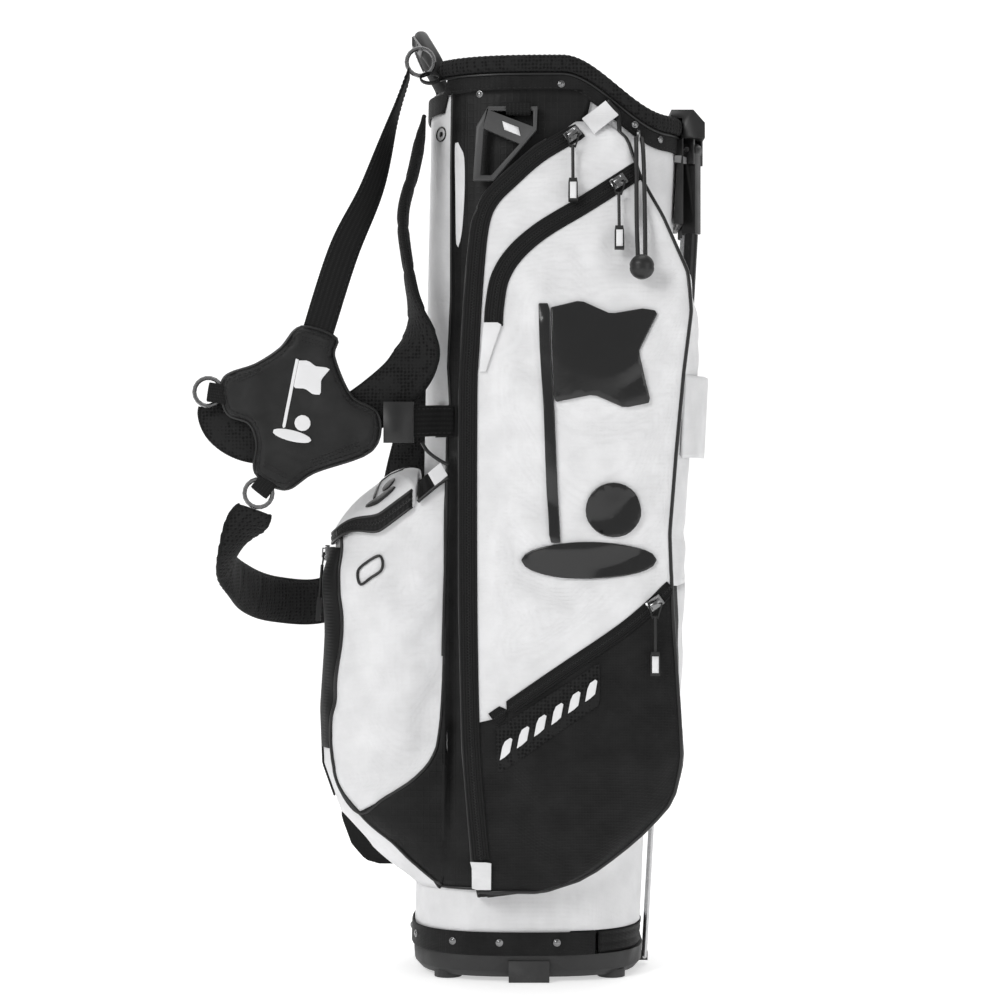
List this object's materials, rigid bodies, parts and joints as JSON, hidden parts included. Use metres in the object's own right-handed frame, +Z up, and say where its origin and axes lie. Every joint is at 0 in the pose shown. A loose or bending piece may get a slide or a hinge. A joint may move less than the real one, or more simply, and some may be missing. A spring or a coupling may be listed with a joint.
{
  "type": "golf stand bag",
  "caption": "Fabric golf bag with a moulded top, pockets with zips, a two-pad carrying strap, and two legs that a tilting base pushes out.",
  "frame": {"origin": "middle of the flat foot under the base, on the floor", "axes": "+Z up along the bag, +X towards the legs, -X towards the carrying strap and the ball pocket, -Y towards the clothing pocket with the emblem"},
  "size_m": [0.4799, 0.3059, 0.903],
  "materials": {
    "white_fabric": "coated woven polyester with a light sheen",
    "black_fabric": "coated woven polyester with a light sheen",
    "ripstop": "textured weave, matt",
    "spacer_mesh": "padded spacer mesh, matt",
    "black_webbing": "woven webbing, matt",
    "strap_fabric": "padded twill, slight sheen",
    "zip_tape": "knitted zip tape with nylon teeth",
    "black_cord": "braided cord",
    "base_plastic": "textured moulding",
    "black_plastic": "smooth moulding",
    "rubber": "matt rubber",
    "leg_tube": "black anodised",
    "steel": "zinc plated",
    "dark_metal": "black nickel, glossy"
  },
  "bodies": {
    "bag": {"base_collar": "black_plastic", "base_band": "black_webbing", "base_gusset": "black_webbing", "bag_sleeve": "white_fabric", "top_collar": "black_plastic", "rim_pad": "spacer_mesh", "cuff_band": "black_webbing", "lift_handle": "base_plastic", "club_divider": "black_fabric", "stay_near": "black_plastic", "stay_far": "black_plastic", "leg_bracket": "black_plastic", "leg_pin_near": "steel", "leg_pin_far": "steel", "leg_strap": "white_fabric", "clothing_pocket": "white_fabric", "valuables_pocket": "black_fabric", "far_pocket": "white_fabric", "side_panel": "ripstop", "ball_pocket": "white_fabric", "bottle_sleeve": "black_fabric", "main_zip_tape": "zip_tape", "upper_zip_tape": "zip_tape", "lower_zip_tape": "zip_tape", "ball_zip_tape": "zip_tape", "strap_hub": "strap_fabric", "hub_ring_a": "dark_metal", "hub_ring_b": "dark_metal", "top_ring": "dark_metal", "ring_loop": "black_webbing", "shoulder_pad_a": "strap_fabric", "shoulder_pad_b": "strap_fabric", "upper_webbing": "black_webbing", "lower_webbing": "black_webbing", "strap_buckle": "black_plastic", "anchor_plate": "black_webbing", "handle_loop": "black_webbing", "bungee_eyelet": "dark_metal"},
    "base": {"base_cup": "base_plastic", "base_hinge_pin": "steel"},
    "near_leg": {"leg_head_near": "black_plastic", "leg_tube_near": "leg_tube", "leg_foot_near": "rubber"},
    "far_leg": {"leg_head_far": "black_plastic", "leg_tube_far": "leg_tube", "leg_foot_far": "rubber"},
    "near_rod": {"push_rod_near": "steel"},
    "far_rod": {"push_rod_far": "steel"},
    "grip": {"utility_handle": "base_plastic"},
    "lid": {"ball_lid": "white_fabric"},
    "main_slider": {"main_zip_slider": "dark_metal"},
    "main_pull": {"main_zip_pull": "black_cord"},
    "upper_slider": {"upper_zip_slider": "dark_metal"},
    "upper_pull": {"upper_zip_pull": "black_cord"},
    "lower_slider": {"lower_zip_slider": "dark_metal"},
    "lower_pull": {"lower_zip_pull": "black_cord"},
    "ball_slider": {"ball_zip_slider": "dark_metal"},
    "ball_pull": {"ball_zip_pull": "black_cord"},
    "bungee": {"bungee_cord": "black_cord", "bungee_ball": "rubber"}
  },
  "joints": [
    {"name": "base_tilt", "type": "hinge", "parent": "bag", "child": "base", "pos_m": [0.07, 0, 0.0146], "axis": [0, -1, 0], "range_deg": [0, 21], "deforming": ["base_gusset"]},
    {"name": "near_leg_swing", "type": "hinge", "parent": "bag", "child": "near_leg", "pos_m": [0.1565, -0.027, 0.784], "axis": [-0.4695, -0.8829, 0], "range_deg": [0, 31.92]},
    {"name": "far_leg_swing", "type": "hinge", "parent": "bag", "child": "far_leg", "pos_m": [0.1565, 0.027, 0.784], "axis": [0.4695, -0.8829, 0], "range_deg": [0, 31.92]},
    {"name": "near_rod_pivot", "type": "hinge", "parent": "base", "child": "near_rod", "pos_m": [0.1128, -0.009, 0.008], "axis": [0.0699, 0.9976, 0], "range_deg": [0, 24.19]},
    {"name": "far_rod_pivot", "type": "hinge", "parent": "base", "child": "far_rod", "pos_m": [0.1128, 0.009, 0.008], "axis": [-0.0699, 0.9976, 0], "range_deg": [0, 24.19]},
    {"name": "utility_handle_swing", "type": "hinge", "parent": "bag", "child": "grip", "pos_m": [-0.015, -0.109, 0.8117], "axis": [-1, 0, 0], "range_deg": [0, 120]},
    {"name": "ball_lid_open", "type": "hinge", "parent": "bag", "child": "lid", "pos_m": [-0.1045, 0, 0.496], "axis": [0, 1, 0], "range_deg": [0, 70]},
    {"name": "main_zip_slide", "type": "slide", "parent": "bag", "child": "main_slider", "axis": [-0.8123, -0.123, -0.5701], "range_m": [0, 0.07]},
    {"name": "main_pull_flip", "type": "hinge", "parent": "main_slider", "child": "main_pull", "pos_m": [0.04, -0.12299, 0.78701], "axis": [-1, 0, 0], "range_deg": [0, 70]},
    {"name": "upper_zip_slide", "type": "slide", "parent": "bag", "child": "upper_slider", "axis": [-0.84, -0.1145, -0.5304], "range_m": [0, 0.083]},
    {"name": "upper_pull_flip", "type": "hinge", "parent": "upper_slider", "child": "upper_pull", "pos_m": [0.082, -0.13265, 0.74221], "axis": [-1, 0, 0], "range_deg": [0, 70]},
    {"name": "lower_zip_slide", "type": "slide", "parent": "bag", "child": "lower_slider", "axis": [-0.814, -0.0055, -0.5808], "range_m": [0, 0.164]},
    {"name": "lower_pull_flip", "type": "hinge", "parent": "lower_slider", "child": "lower_pull", "pos_m": [0.114, -0.15731, 0.35505], "axis": [-1, 0, 0], "range_deg": [0, 70]},
    {"name": "ball_zip_slide", "type": "slide", "parent": "bag", "child": "ball_slider", "axis": [-0.0653, 0, -0.9979], "range_m": [0, 0.15]},
    {"name": "ball_pull_flip", "type": "hinge", "parent": "ball_slider", "child": "ball_pull", "pos_m": [-0.19652, -0.014, 0.39831], "axis": [0, 1, 0], "range_deg": [0, 70]},
    {"name": "bungee_swing", "type": "hinge", "parent": "bag", "child": "bungee", "pos_m": [0.102, -0.104, 0.787], "axis": [-1, 0, 0], "range_deg": [0, 60]}
  ],
  "couplings": [
    {"joint": "near_leg_swing", "follows": "base_tilt", "ratio": 1.52},
    {"joint": "far_leg_swing", "follows": "base_tilt", "ratio": 1.52},
    {"joint": "near_rod_pivot", "follows": "base_tilt", "ratio": 1.152},
    {"joint": "far_rod_pivot", "follows": "base_tilt", "ratio": 1.152}
  ]
}
